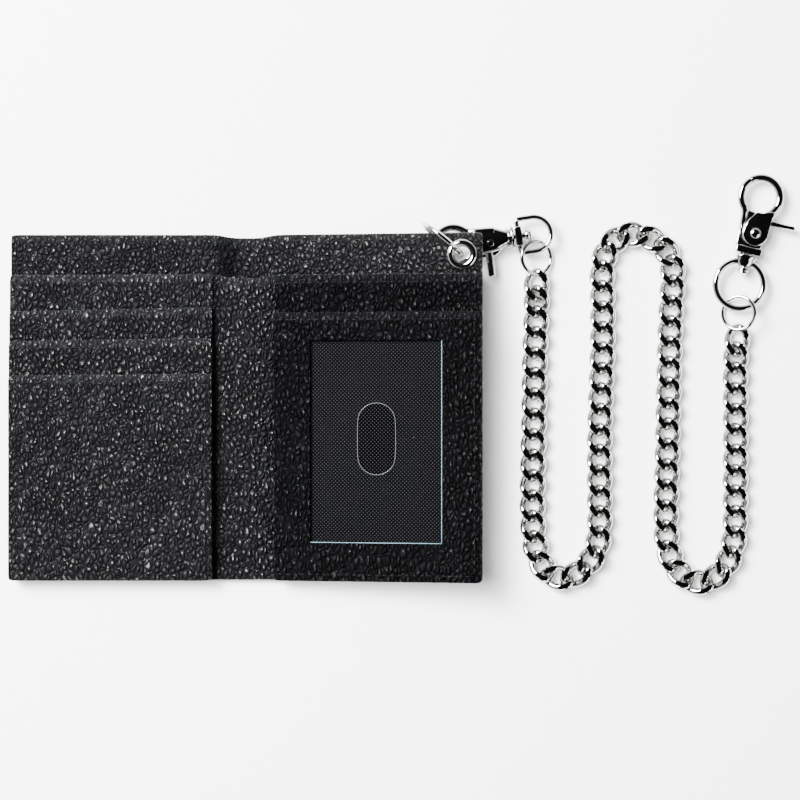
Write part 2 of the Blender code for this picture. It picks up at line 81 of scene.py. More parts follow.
def newPiece(name, points, faces, material, sharp=None):
    mesh = bpy.data.meshes.new(name)
    mesh.from_pydata(points.reshape(-1, 3).tolist(), [], [list(face) for face in faces])
    mesh.shade_smooth()
    if sharp:
        mesh.set_sharp_from_angle(angle=math.radians(sharp))
    piece = bpy.data.objects.new(name, mesh)
    bpy.context.scene.collection.objects.link(piece)
    piece.data.materials.append(material)
    return piece


# quads between neighbouring rows and columns of a grid of point numbers
def gridFaces(index, closeRows=False, closeColumns=False):
    if closeRows:
        index = np.vstack([index, index[:1]])
    if closeColumns:
        index = np.hstack([index, index[:, :1]])
    quads = [index[:-1, :-1], index[1:, :-1], index[1:, 1:], index[:-1, 1:]]
    return np.stack(quads, axis=-1).reshape(-1, 4)


# a tube: an ellipse of the given half width and half height carried along a path that stays
# nearly level, with its top and bottom cut flat where flat is given
def tubePoints(path, halfWidth, halfHeight, sides, closed=False, flat=None, up=(0, 0, 1)):
    ahead = np.roll(path, -1, 0) - np.roll(path, 1, 0) if closed else np.gradient(path, axis=0)
    ahead /= np.linalg.norm(ahead, axis=1, keepdims=True)
    side = np.cross(np.array(up, float), ahead)
    side /= np.linalg.norm(side, axis=1, keepdims=True)
    rise = np.cross(ahead, side)
    turn = np.linspace(0, 2 * math.pi, sides, endpoint=False)
    out = np.broadcast_to(np.asarray(halfWidth, float), len(path))[:, None] * np.cos(turn)
    high = np.broadcast_to(np.asarray(halfHeight, float), len(path))[:, None] * np.sin(turn)
    if flat is not None:
        high = np.clip(high, -flat, flat)
    return path[:, None] + out[..., None] * side[:, None] + high[..., None] * rise[:, None]


def tubeFaces(rows, sides, closed=False):
    index = np.arange(rows * sides).reshape(rows, sides)
    faces = gridFaces(index, closed, True)[:, ::-1].tolist()
    if not closed:
        faces += [index[0, ::-1].tolist(), index[-1].tolist()]
    return faces


# the same tube with its last rows drawn in to round ends
def roundedPath(path, half, share=(1.0, 0.97, 0.85, 0.6, 0.25)):
    first = path[0] + (path[0] - path[1]) / np.linalg.norm(path[0] - path[1]) * half * 0.5
    last = path[-1] + (path[-1] - path[-2]) / np.linalg.norm(path[-1] - path[-2]) * half * 0.5
    steps = np.sqrt(1 - np.array(share) ** 2)
    head = path[0] + (first - path[0]) * steps[::-1, None] * 2
    tail = path[-1] + (last - path[-1]) * steps[:, None] * 2
    scale = np.concatenate([share[::-1], np.ones(len(path) - 2), share])
    return np.vstack([head, path[1:-1], tail]), scale


# profile points (radius, height) turned round Z
def turnedPoints(profile, sides):
    turn = np.linspace(0, 2 * math.pi, sides, endpoint=False)
    profile = np.array(profile, float)
    x = profile[:, :1] * np.cos(turn)
    y = profile[:, :1] * np.sin(turn)
    return np.stack([x, y, np.repeat(profile[:, 1:], sides, axis=1)], axis=-1)


def turnedX(angle):
    c, s = math.cos(angle), math.sin(angle)
    return np.array([[1, 0, 0], [0, c, -s], [0, s, c]])


def turnedY(angle):
    c, s = math.cos(angle), math.sin(angle)
    return np.array([[c, 0, s], [0, 1, 0], [-s, 0, c]])


def turnedZ(angle):
    c, s = math.cos(angle), math.sin(angle)
    return np.array([[c, -s, 0], [s, c, 0], [0, 0, 1]])


print("frame loaded")


def newNode(tree, kind, inputs=None, **settings):
    node = tree.nodes.new(kind)
    node.location = (len(tree.nodes) * 40 - 900, (len(tree.nodes) % 5) * -160)
    for key, value in settings.items():
        setattr(node, key, value)
    for key, value in (inputs or {}).items():
        if isinstance(value, bpy.types.NodeSocket):
            tree.links.new(value, node.inputs[key])
        else:
            node.inputs[key].default_value = value
    return node


def newGroup(name, inputs, outputs):
    group = bpy.data.node_groups.new(name, "ShaderNodeTree")
    for title, kind, value in inputs:
        socket = group.interface.new_socket(title, in_out="INPUT", socket_type=kind)
        if value is not None:
            socket.default_value = value
    for title, kind in outputs:
        group.interface.new_socket(title, in_out="OUTPUT", socket_type=kind)
    return group, newNode(group, "NodeGroupInput"), newNode(group, "NodeGroupOutput")


def mathNode(tree, operation, first, second=0.0):
    return newNode(tree, "ShaderNodeMath", {0: first, 1: second}, operation=operation).outputs[0]


def rangeNode(tree, value, low, high, newLow=0.0, newHigh=1.0):
    inputs = {
        "Value": value, "From Min": low, "From Max": high, "To Min": newLow, "To Max": newHigh,
    }
    return newNode(tree, "ShaderNodeMapRange", inputs).outputs[0]


def mixColour(tree, share, first, second):
    node = newNode(tree, "ShaderNodeMix", data_type="RGBA")
    for number, value in ((0, share), (6, first), (7, second)):
        socket = node.inputs[number]
        if isinstance(value, bpy.types.NodeSocket):
            tree.links.new(value, socket)
        else:
            socket.default_value = value
    return node.outputs[2]


# pebbles are domes between the creases of a cell pattern whose place is shaken by noise
def pebbleGroup():
    group, start, end = newGroup(
        "pebbledGrain",
        [("Vector", "NodeSocketVector", None), ("Scale", "NodeSocketFloat", 520.0)],
        [("Height", "NodeSocketFloat"), ("Crease", "NodeSocketFloat"), ("Tone", "NodeSocketFloat")],
    )
    scale = start.outputs["Scale"]
    shake = newNode(group, "ShaderNodeTexNoise", {
        "Vector": start.outputs["Vector"], "Scale": mathNode(group, "MULTIPLY", scale, 0.45),
        "Detail": 2.0,
    })
    centred = newNode(group, "ShaderNodeVectorMath", {
        0: shake.outputs["Color"], 1: (0.5, 0.5, 0.5),
    }, operation="SUBTRACT")
    small = newNode(group, "ShaderNodeVectorMath", {
        0: centred.outputs[0], "Scale": 0.0022,
    }, operation="SCALE")
    moved = newNode(group, "ShaderNodeVectorMath", {
        0: start.outputs["Vector"], 1: small.outputs[0],
    }, operation="ADD")
    cells = newNode(group, "ShaderNodeTexVoronoi", {
        "Vector": moved.outputs[0], "Scale": scale,
    }, feature="DISTANCE_TO_EDGE")
    crease = rangeNode(group, cells.outputs["Distance"], 0.0, 0.3)
    dome = newNode(group, "ShaderNodeTexVoronoi", {
        "Vector": moved.outputs[0], "Scale": scale,
    }, feature="F1")
    domed = rangeNode(group, dome.outputs["Distance"], 0.05, 0.8, 1.0, 0.0)
    fine = newNode(group, "ShaderNodeTexNoise", {
        "Vector": start.outputs["Vector"], "Scale": mathNode(group, "MULTIPLY", scale, 4.0),
        "Detail": 3.0,
    })
    tone = newNode(group, "ShaderNodeTexNoise", {
        "Vector": start.outputs["Vector"], "Scale": mathNode(group, "MULTIPLY", scale, 0.12),
        "Detail": 2.0,
    })
    rounded = mathNode(group, "POWER", crease, 0.6)
    raised = mathNode(group, "MULTIPLY", rounded, mathNode(group, "ADD", domed, 0.5))
    rough = mathNode(group, "MULTIPLY", fine.outputs["Fac"], 0.12)
    group.links.new(mathNode(group, "ADD", raised, rough), end.inputs["Height"])
    group.links.new(crease, end.inputs["Crease"])
    group.links.new(tone.outputs["Fac"], end.inputs["Tone"])
    return group


# threads over and under each other: the product of a sine across and a sine along
def weaveGroup():
    group, start, end = newGroup(
        "plainWeave",
        [("Vector", "NodeSocketVector", None), ("Threads", "NodeSocketFloat", 6000.0)],
        [("Height", "NodeSocketFloat"), ("Mask", "NodeSocketFloat")],
    )
    apart = newNode(group, "ShaderNodeSeparateXYZ", {0: start.outputs["Vector"]})
    waves = [
        mathNode(group, "SINE", mathNode(group, "MULTIPLY", axis, start.outputs["Threads"]))
        for axis in apart.outputs[:2]
    ]
    crossed = mathNode(group, "MULTIPLY", waves[0], waves[1])
    height = rangeNode(group, crossed, -1.0, 1.0)
    group.links.new(height, end.inputs["Height"])
    group.links.new(rangeNode(group, crossed, 0.45, 1.0), end.inputs["Mask"])
    return group


# handling marks: broad noise for haze and stretched fine noise for hairline scratches
def wearGroup():
    group, start, end = newGroup(
        "handlingWear",
        [("Vector", "NodeSocketVector", None), ("Scale", "NodeSocketFloat", 120.0)],
        [("Haze", "NodeSocketFloat"), ("Scratch", "NodeSocketFloat")],
    )
    haze = newNode(group, "ShaderNodeTexNoise", {
        "Vector": start.outputs["Vector"], "Scale": start.outputs["Scale"], "Detail": 4.0,
    })
    stretched = newNode(group, "ShaderNodeMapping", {
        "Vector": start.outputs["Vector"], "Scale": (1.0, 14.0, 1.0),
        "Rotation": (0.0, 0.0, 0.6),
    })
    scratch = newNode(group, "ShaderNodeTexNoise", {
        "Vector": stretched.outputs[0], "Detail": 2.0,
        "Scale": mathNode(group, "MULTIPLY", start.outputs["Scale"], 3.0),
    })
    group.links.new(haze.outputs["Fac"], end.inputs["Haze"])
    group.links.new(rangeNode(group, scratch.outputs["Fac"], 0.62, 0.75), end.inputs["Scratch"])
    return group


grain, weave, wear = pebbleGroup(), weaveGroup(), wearGroup()


def newMaterial(name, roughness, metallic=0.0, alpha=1.0):
    material = bpy.data.materials.new(name)
    material.use_nodes = True
    tree = material.node_tree
    shader = tree.nodes["Principled BSDF"]
    shader.inputs["Roughness"].default_value = roughness
    shader.inputs["Metallic"].default_value = metallic
    shader.inputs["Alpha"].default_value = alpha
    place = newNode(tree, "ShaderNodeTexCoord").outputs["Object"]
    return material, tree, shader, place


def addBump(tree, shader, height, distance, strength):
    bump = newNode(tree, "ShaderNodeBump", {
        "Height": height, "Distance": distance, "Strength": strength,
    })
    tree.links.new(bump.outputs[0], shader.inputs["Normal"])


def useGroup(tree, group, vector, **values):
    node = newNode(tree, "ShaderNodeGroup", node_tree=group)
    tree.links.new(vector, node.inputs["Vector"])
    for key, value in values.items():
        node.inputs[key].default_value = value
    return node


# the crease colour is painted shade: the creases between pebbles are coloured darker than the
# pebbles' tops
leatherLook = {
    "scale": 600.0, "crease": (0.0015, 0.0015, 0.0018, 1), "top": (0.0035, 0.0035, 0.0042, 1),
    "pale": (0.006, 0.0062, 0.007, 1), "turned": (0.0055, 0.0056, 0.0062, 1),
    "roughLow": 0.27, "roughHigh": 0.44, "bump": 0.00095, "shine": 0.42,
}


# tone scales the colours and depth the shine, which makes darker, painted shade copies of the
# leather
def leatherMaterial(name, turn, stretch, depth=1.0, tone=1.0):
    material, tree, shader, place = newMaterial(name, 0.45)
    crease, top, pale, edge = [
        tuple(value * tone for value in leatherLook[key][:3]) + (1,)
        for key in ("crease", "top", "pale", "turned")
    ]
    laid = newNode(tree, "ShaderNodeMapping", {
        "Vector": place, "Rotation": (0.0, 0.0, turn), "Scale": stretch,
    }).outputs[0]
    pebbles = useGroup(tree, grain, laid, Scale=leatherLook["scale"])
    marks = useGroup(tree, wear, place, Scale=60.0)
    # painted shade: the creases between pebbles are coloured darker than the tops
    creaseShadedColour = mixColour(tree, pebbles.outputs["Crease"], crease, top)
    shade = rangeNode(tree, pebbles.outputs["Tone"], 0.3, 0.7, 0.0, 0.35)
    turned = newNode(tree, "ShaderNodeAttribute", attribute_name="turnedEdge").outputs["Fac"]
    handled = mixColour(tree, shade, creaseShadedColour, pale)
    tree.links.new(mixColour(tree, turned, handled, edge), shader.inputs["Base Color"])
    rough = rangeNode(
        tree, mathNode(tree, "MULTIPLY", marks.outputs["Haze"], pebbles.outputs["Crease"]),
        0.1, 0.7, leatherLook["roughHigh"], leatherLook["roughLow"],
    )
    tree.links.new(rough, shader.inputs["Roughness"])
    strength = rangeNode(tree, turned, 0.0, 1.0, 1.0, 0.75)
    addBump(tree, shader, pebbles.outputs["Height"], leatherLook["bump"], strength)
    # painted shade: where the panel's painted spine shade mask is set, the shine falls to almost
    # nothing
    paintedSpineShade = newNode(tree, "ShaderNodeAttribute", attribute_name="paintedSpineShade").outputs["Fac"]
    shine = rangeNode(tree, paintedSpineShade, 0.0, 1.0, leatherLook["shine"] * depth, 0.02)
    # painted shade: the shine is cut to about a fifth in the creases between pebbles
    raised = rangeNode(tree, pebbles.outputs["Crease"], 0.0, 0.8, 0.22, 1.0)
    tree.links.new(mathNode(tree, "MULTIPLY", shine, raised), shader.inputs["Specular IOR Level"])
    return material


clothLook = {
    "gap": (0.0003, 0.0003, 0.0004, 1), "cloth": (0.021, 0.021, 0.023, 1), "period": 0.00132,
    "threadDark": (0.0012, 0.0012, 0.0014, 1), "threadPale": (0.005, 0.005, 0.0055, 1),
}


def liningMaterial():
    material, tree, shader, place = newMaterial("wovenLining", 0.6)
    threads = useGroup(tree, weave, place, Threads=2 * math.pi / clothLook["period"])
    colour = mixColour(tree, threads.outputs["Mask"], clothLook["gap"], clothLook["cloth"])
    tree.links.new(colour, shader.inputs["Base Color"])
    addBump(tree, shader, threads.outputs["Height"], 0.0001, 1.0)
    shine = rangeNode(tree, threads.outputs["Mask"], 0.0, 1.0, 0.005, 0.12)
    tree.links.new(shine, shader.inputs["Specular IOR Level"])
    return material


def threadMaterial():
    material, tree, shader, place = newMaterial("wovenThread", 0.5)
    fibre = newNode(tree, "ShaderNodeTexNoise", {"Vector": place, "Scale": 6000.0, "Detail": 2.0})
    colour = mixColour(
        tree, rangeNode(tree, fibre.outputs["Fac"], 0.35, 0.7),
        clothLook["threadDark"], clothLook["threadPale"],
    )
    tree.links.new(colour, shader.inputs["Base Color"])
    addBump(tree, shader, fibre.outputs["Fac"], 0.0001, 0.6)
    shader.inputs["Specular IOR Level"].default_value = 0.15
    return material


def metalMaterial(name, colour, roughLow, roughHigh):
    material, tree, shader, place = newMaterial(name, roughLow, 1.0)
    marks = useGroup(tree, wear, place, Scale=140.0)
    tarnish = tuple(value * 0.86 for value in colour[:3]) + (1,)
    tint = mixColour(tree, rangeNode(tree, marks.outputs["Haze"], 0.4, 0.75), colour, tarnish)
    tree.links.new(tint, shader.inputs["Base Color"])
    rough = mathNode(
        tree, "ADD", rangeNode(tree, marks.outputs["Haze"], 0.3, 0.8, roughLow, roughHigh),
        mathNode(tree, "MULTIPLY", marks.outputs["Scratch"], 0.06),
    )
    tree.links.new(rough, shader.inputs["Roughness"])
    addBump(tree, shader, marks.outputs["Haze"], 0.00004, 0.5)
    return material


def vinylMaterial(name, colour, alpha, roughness):
    material, tree, shader, place = newMaterial(name, roughness, 0.0, alpha)
    marks = useGroup(tree, wear, place, Scale=45.0)
    cloudy = tuple(min(1.0, value * 1.25) for value in colour[:3]) + (1,)
    tint = mixColour(tree, rangeNode(tree, marks.outputs["Haze"], 0.4, 0.7), colour, cloudy)
    tree.links.new(tint, shader.inputs["Base Color"])
    tree.links.new(
        rangeNode(tree, marks.outputs["Scratch"], 0, 1, roughness, roughness + 0.2),
        shader.inputs["Roughness"],
    )
    return material


outerLeather = leatherMaterial("coverLeather", 0.5, (1.0, 0.8, 1.0))
pocketLeather = leatherMaterial("pocketLeather", 0.9, (1.0, 0.68, 1.0))
# painted shade: the slip pocket and window frame on the raised right half use a copy of the leather
# with half the colour and 0.22 of the shine, darker because of how the light falls there
shadedWindowLeather = leatherMaterial("shadedWindowLeatherCopy", -0.15, (1.0, 0.62, 1.0), 0.22, 0.5)
lining, thread = liningMaterial(), threadMaterial()
nickel = metalMaterial("brightNickel", (0.62, 0.61, 0.595, 1), 0.04, 0.10)
springWire = metalMaterial("springWire", (0.5, 0.5, 0.5, 1), 0.2, 0.35)
film = vinylMaterial("clearFilm", (0.012, 0.0125, 0.014, 1), 0.04, 0.12)
# painted highlights: bluish and grey lines stand for the light caught by the film's cut edges
paintedEdgeHighlight = vinylMaterial("paintedFilmEdgeHighlight", (0.13, 0.22, 0.27, 1), 0.8, 0.2)
paintedSlotHighlight = vinylMaterial("paintedSlotEdgeHighlight", (0.12, 0.126, 0.132, 1), 0.5, 0.2)
print("finishes made")


panelRim = 0.45
seamInset = 2.4
lipInset = 2.7
rimSteps = panelRim * np.array([0.0, 0.08, 0.3, 0.62, 1.0])


def spacedLine(low, high, spacing, breaks=()):
    edges = [low, *breaks, high]
    line = []
    for first, last in zip(edges[:-1], edges[1:]):
        count = max(2, round((last - first) / spacing))
        inner = np.linspace(first + panelRim, last - panelRim, count)
        line += [first + rimSteps[:-1], inner, (last - rimSteps[:-1])[::-1]]
    return np.unique(np.round(np.concatenate(line), 5))


# one leather panel: a top and a bottom sheet that meet at mid height round the rim. Near the rim
# the height follows a quarter circle of the distance to the nearest edge, seams press a groove
# into the top, and the top swells a little between them
def leatherPanel(name, material, span, low, lip, base, thick, hole=None, tilt=0.0, corner=1.3,
                 seams=(), swell=0.15, spacing=1.6):
    left, right = span
    acrossBreaks = hole[:2] if hole else ()
    alongBreaks = hole[2:] if hole else ()
    across = spacedLine(left, right, spacing, acrossBreaks)[:, None]
    along = spacedLine(low, lip, spacing, alongBreaks)[None, :]
    across, along = across + 0 * along, along + 0 * across
    fromSide = np.minimum(across - left, right - across)
    fromEnd = np.minimum(along - low, lip - along)
    inCorner = (fromSide < corner) & (fromEnd < corner)
    a, b = corner - fromSide, corner - fromEnd
    reach = np.hypot(a, b) + 1e-9
    shrink = np.where(inCorner, np.maximum(a, b) / reach, 1.0)
    sideSign = np.where(across < (left + right) / 2, -1, 1)
    endSign = np.where(along < (low + lip) / 2, -1, 1)
    x = np.where(inCorner, across + sideSign * a * (shrink - 1), across)
    y = np.where(inCorner, along + endSign * b * (shrink - 1), along)
    gap = np.where(inCorner, corner - reach * shrink, np.minimum(fromSide, fromEnd))
    inside = np.zeros(x.shape, bool)
    if hole:
        outX = np.maximum(hole[0] - x, x - hole[1])
        outY = np.maximum(hole[2] - y, y - hole[3])
        gap = np.minimum(gap, np.hypot(np.maximum(outX, 0), np.maximum(outY, 0)))
        inside = (outX < -1e-4) & (outY < -1e-4)
    rimCurve = np.sqrt(np.clip(1 - (1 - np.clip(gap / panelRim, 0, 1)) ** 2, 0, 1))
    soft = np.clip(gap / 7, 0, 1) ** 0.6
    top = base + thick * (0.5 + 0.5 * rimCurve)
    top += swell * soft * (0.55 + 0.3 * np.sin(x / 9 + y / 23) * np.sin(y / 14 - x / 31))
    for kind, place in seams:
        apart = np.abs((x if kind == "x" else y) - place)
        top -= 0.26 * np.exp(-(apart / 0.6) ** 2) * rimCurve
    bottom = base + thick * (0.5 - 0.5 * rimCurve)
    y = y + tilt * ((x - left) / (right - left) - 0.5) * (along - low) / (lip - low)
    if left < wallet["spineLeft"] - 20 and right > wallet["spineRight"] + 20:
        droop = wallet["dip"] * np.exp(-(x / wallet["dipWidth"]) ** 4)
        y = y - droop * (along - low) / (lip - low)
    shared = gap < 1e-6
    topIndex = np.arange(x.size).reshape(x.shape)
    bottomIndex = np.where(shared, topIndex, topIndex + x.size)
    keep = ~(inside[:-1, :-1] | inside[1:, 1:] | inside[1:, :-1] | inside[:-1, 1:])
    if hole:
        middleX = (x[:-1, :-1] + x[1:, 1:]) / 2
        middleY = (along[:-1, :-1] + along[1:, 1:]) / 2
        keep &= ~(
            (middleX > hole[0]) & (middleX < hole[1]) & (middleY > hole[2]) & (middleY < hole[3])
        )
    keep = keep.reshape(-1)
    faces = np.vstack([gridFaces(topIndex)[keep], gridFaces(bottomIndex)[keep][:, ::-1]])
    points = np.vstack([
        onWallet(x, y, top).reshape(-1, 3), onWallet(x, y, bottom).reshape(-1, 3),
    ])
    used, faces = np.unique(faces, return_inverse=True)
    piece = newPiece(name, points[used], faces.reshape(-1, 4), material)
    turned = np.exp(-np.clip((lip - along) / lipInset, 0, 9) ** 6)
    turned = np.concatenate([turned.reshape(-1)] * 2)[used].astype(np.float32)
    # painted shade: the leather's shine is cut on the cover near the spine above y = 48, and on the
    # divider in a narrow strip at x = -11.2 beside the pockets' right edge, where shade falls
    shaded = np.exp(-((across + 6.5) / 5) ** 4) * (along > 48) if base == 0 else 0 * along
    shaded += np.exp(-((across + 11.2) / 1.5) ** 4) * (base > 0) * (right > 20)
    shaded = np.concatenate([shaded.reshape(-1)] * 2)[used].astype(np.float32)
    for title, values in (("turnedEdge", turned), ("paintedSpineShade", shaded)):
        piece.data.attributes.new(title, "FLOAT", "POINT").data.foreach_set("value", values)
    return piece


eyelet = {"x": 66.95, "y": 53.75, "flange": 5.4, "hole": 2.8, "barrel": 3.3, "square": 3.25}
eyeletAcross = wallet["hinge"] + eyelet["x"]
layerBase = {
    "cover": 0.0, "divider": 1.9, "first": 2.9, "second": 3.9, "third": 4.9, "fourth": 5.9,
    "lining": 4.0, "frame": 5.5,
}
leatherThick = {"cover": 1.4, "pocket": 0.7, "frame": 0.75, "lining": 0.5}
bothSpan = (wallet["left"], wallet["right"])
pocketSpan = (wallet["left"], -11.9)
rightSpan = (wallet["spineRight"], wallet["right"])
dividerLip, slipLip = 47.2, 46.9
cardPockets = {
    "cardPocketA": {"node": "card_pocket_1", "lip": 47.1, "base": layerBase["first"], "tilt": 0.4},
    "cardPocketB": {"node": "card_pocket_2", "lip": 34.8, "base": layerBase["second"], "tilt": 1.5},
    "cardPocketC": {"node": "card_pocket_3", "lip": 24.0, "base": layerBase["third"], "tilt": 1.1},
    "cardPocketD": {"node": "card_pocket_4", "lip": 11.6, "base": layerBase["fourth"], "tilt": 0.7},
}
window = {"left": 24.0, "right": 70.9, "low": -47.9, "high": 23.5, "lip": 33.6}

cover = leatherPanel(
    "outerCover", outerLeather, bothSpan, wallet["low"], wallet["top"],
    layerBase["cover"], leatherThick["cover"],
    hole=(eyeletAcross - eyelet["square"], eyeletAcross + eyelet["square"],
          eyelet["y"] - eyelet["square"], eyelet["y"] + eyelet["square"]),
    seams=[("y", wallet["top"] - seamInset), ("x", wallet["left"] + seamInset),
           ("x", wallet["right"] - seamInset)],
    swell=0.1,
)
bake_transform(cover)
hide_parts("left_cover", "spine_cover", "right_cover")

divider = leatherPanel(
    "noteDivider", pocketLeather, bothSpan, wallet["low"], dividerLip,
    layerBase["divider"], leatherThick["pocket"],
    seams=[("y", dividerLip - lipInset)], swell=0.2,
)
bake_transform(divider)
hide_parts("left_divider", "spine_divider", "right_divider")

for name, pocket in cardPockets.items():
    piece = leatherPanel(
        name, pocketLeather, pocketSpan, wallet["low"], pocket["lip"], pocket["base"],
        leatherThick["pocket"],
        tilt=pocket["tilt"],
        seams=[("y", pocket["lip"] - lipInset), ("x", wallet["left"] + seamInset),
               ("x", pocketSpan[1] - seamInset), ("y", wallet["low"] + seamInset)],
    )
    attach(piece, "left_half")
    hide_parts(pocket["node"])

slip = leatherPanel(
    "slipPocket", shadedWindowLeather, rightSpan, wallet["low"], slipLip,
    layerBase["first"], leatherThick["pocket"],
    seams=[("y", slipLip - lipInset), ("x", wallet["right"] - seamInset)],
)
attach(slip, "right_half")
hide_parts("slip_pocket")

windowFrame = leatherPanel(
    "windowFrame", shadedWindowLeather, rightSpan, wallet["low"], window["lip"],
    layerBase["frame"], leatherThick["frame"],
    hole=(window["left"], window["right"], window["low"], window["high"]),
    seams=[("y", window["lip"] - lipInset), ("x", wallet["right"] - seamInset),
           ("y", wallet["low"] + seamInset)], spacing=1.4,
)
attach(windowFrame, "right_half")
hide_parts("window_frame")

liningCloth = leatherPanel(
    "liningCloth", lining, (wallet["spineRight"] + 1, wallet["right"] - 1), wallet["low"] + 1,
    window["lip"] - 2, layerBase["lining"], leatherThick["lining"], swell=0.05, spacing=3.0,
)
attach(liningCloth, "right_half")
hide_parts("window_lining")
print("leather panels made")


# window film: a flat ring between the thumb slot's outline and the film's own outline
filmCut = {
    "base": 4.95, "thick": 0.28, "margin": 3.2, "slotX": 47.6, "slotY": -11.2,
    "slotHalf": 6.8, "slotStraight": 5.85, "edge": 0.16,
}


# a slot's outline: a half circle above and below two straight sides
def slotOutline(turn, half, straight):
    x = half * np.cos(turn)
    y = half * np.sin(turn)
    return x, y + straight * np.tanh(y / half * 6)


turn = np.linspace(0, 2 * math.pi, 96, endpoint=False)
slotX, slotY = slotOutline(turn, filmCut["slotHalf"], filmCut["slotStraight"])
slotX, slotY = slotX + filmCut["slotX"], slotY + filmCut["slotY"]
middle = ((window["left"] + window["right"]) / 2, (window["low"] + window["high"]) / 2)
halfX = (window["right"] - window["left"]) / 2 + filmCut["margin"]
halfY = (window["high"] - window["low"]) / 2 + filmCut["margin"]
square = 1 / np.maximum(np.abs(np.cos(turn)) / halfX, np.abs(np.sin(turn)) / halfY)
outerX, outerY = middle[0] + square * np.cos(turn), middle[1] + square * np.sin(turn)
share = np.array([0, 0.25, 0.5, 0.75, 1, 1, 0.75, 0.5, 0.25, 0])[:, None]
level = np.array([1, 1, 1, 1, 1, 0, 0, 0, 0, 0])[:, None]
filmX = slotX + (outerX - slotX) * share
filmY = slotY + (outerY - slotY) * share
filmHeight = filmCut["base"] + filmCut["thick"] * level + 0 * filmX
filmPoints = onWallet(filmX, filmY, filmHeight)
filmIndex = np.arange(filmPoints.size // 3).reshape(filmX.shape)
clearWindow = newPiece(
    "clearWindow", filmPoints, gridFaces(filmIndex, True, True), film, 30
)
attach(clearWindow, "right_half")
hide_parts("window_film")


# painted highlights: the light that the film's cut edge catches is drawn as fine lines round the
# slot and along two sides
def filmLine(name, x, y, height, closed, half, material=paintedEdgeHighlight):
    path = onWallet(x, y + 0 * x, height + 0 * x)
    points = tubePoints(path, half * mm, half * mm, 8, closed)
    piece = newPiece(name, points, tubeFaces(len(path), 8, closed), material)
    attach(piece, "right_half")


filmTop = filmCut["base"] + filmCut["thick"]
filmLine("slotHighlightLine", slotX, slotY, filmTop, True, 0.09, paintedSlotHighlight)
inset = 0.12
sideY = np.linspace(window["low"] + inset, window["high"] - inset, 24)
filmLine("filmSideHighlight", window["right"] - inset + 0 * sideY, sideY, filmTop + 0.55, False, 0.12)
lowX = np.linspace(window["left"] + inset, window["right"] - inset, 24)
filmLine("filmLowHighlight", lowX, window["low"] + inset + 0 * lowX, filmTop + 0.55, False, 0.12)
print("window made")


# seams: rows of short stitches, each a small bowed capsule that dips in at its ends
stitch = {"pitch": 2.6, "length": 1.75, "half": 0.2, "sides": 6}
stitchShare = np.array([-1.0, -0.7, 0.0, 0.7, 1.0])
stitchRadius = np.array([0.4, 0.85, 1.0, 0.85, 0.4])
stitchLift = np.array([-0.16, 0.0, 0.06, 0.0, -0.16])


def panelTop(across, y, steps):
    height = np.full(np.shape(y), 1.42)
    for lip, base in steps:
        height = np.where(y < lip, base + 0.72, height)
    return height


def seamRow(start, end, steps):
    start, end = np.array(start, float), np.array(end, float)
    count = max(2, int(np.linalg.norm(end - start) / stitch["pitch"]))
    share = (np.arange(count) + 0.5) / count
    centre = start + (end - start) * share[:, None]
    ahead = (end - start) / np.linalg.norm(end - start)
    side = np.array([-ahead[1], ahead[0]])
    turn = np.linspace(0, 2 * math.pi, stitch["sides"], endpoint=False)
    along = stitchShare * stitch["length"] / 2
    flat = (
        centre[:, None, None] + ahead * along[None, :, None, None]
        + side * (stitch["half"] * stitchRadius[:, None] * np.cos(turn))[None, :, :, None]
    )
    top = panelTop(centre[:, 0], centre[:, 1], steps)[:, None, None]
    height = top + stitchLift[None, :, None] + stitch["half"] * stitchRadius[:, None] * np.sin(turn)
    height = np.broadcast_to(height, flat.shape[:-1])
    return onWallet(flat[..., 0], flat[..., 1], height)


def seamPiece(name, rows, steps):
    points = np.vstack([seamRow(start, end, steps) for start, end in rows])
    rings, sides = len(stitchShare), stitch["sides"]
    one = np.array(tubeFaces(rings, sides)[:-2])
    offsets = np.arange(len(points)) * rings * sides
    faces = (one[None] + offsets[:, None, None]).reshape(-1, 4).tolist()
    first = np.arange(sides)
    last = (rings - 1) * sides + first[::-1]
    faces += (first[None] + offsets[:, None]).tolist() + (last[None] + offsets[:, None]).tolist()
    return newPiece(name, points, faces, thread)


leftSteps = [(pocket["lip"], pocket["base"]) for pocket in cardPockets.values()]
dividerStep = (dividerLip, layerBase["divider"])
rightSteps = [
    dividerStep, (slipLip, layerBase["first"]), (window["lip"], layerBase["frame"]),
]
leftRows, rightRows = [], []
leftEdge, leftInner = wallet["left"] + seamInset, pocketSpan[1] - seamInset
rightEdge = wallet["right"] - seamInset
lowSeam, topSeam = wallet["low"] + seamInset, wallet["top"] - seamInset
stepLines = [lowSeam, *sorted(lip for lip, base in leftSteps), topSeam]
for low, high in zip(stepLines[:-1], stepLines[1:]):
    leftRows.append(((leftEdge, low + 0.6), (leftEdge, high - 0.6)))
    if high < 48:
        leftRows.append(((leftInner, low + 0.6), (leftInner, high - 0.6)))
leftRows.append(((leftEdge + 1, lowSeam), (leftInner - 1, lowSeam)))
leftRows.append(((leftEdge + 1, topSeam), (leftInner - 1, topSeam)))
for pocket in cardPockets.values():
    y, rise = pocket["lip"] - lipInset, pocket["tilt"] / 2
    leftRows.append(((leftEdge + 1.5, y - rise), (leftInner - 1.5, y + rise)))
for low, high in zip([lowSeam, window["lip"], dividerLip], [window["lip"], dividerLip, topSeam]):
    rightRows.append(((rightEdge, low + 0.6), (rightEdge, high - 0.6)))
rightRows.append(((wallet["spineRight"] + 1.5, lowSeam), (rightEdge - 1, lowSeam)))
rightRows.append(((wallet["spineRight"] + 1.5, topSeam), (eyeletAcross - 7, topSeam)))
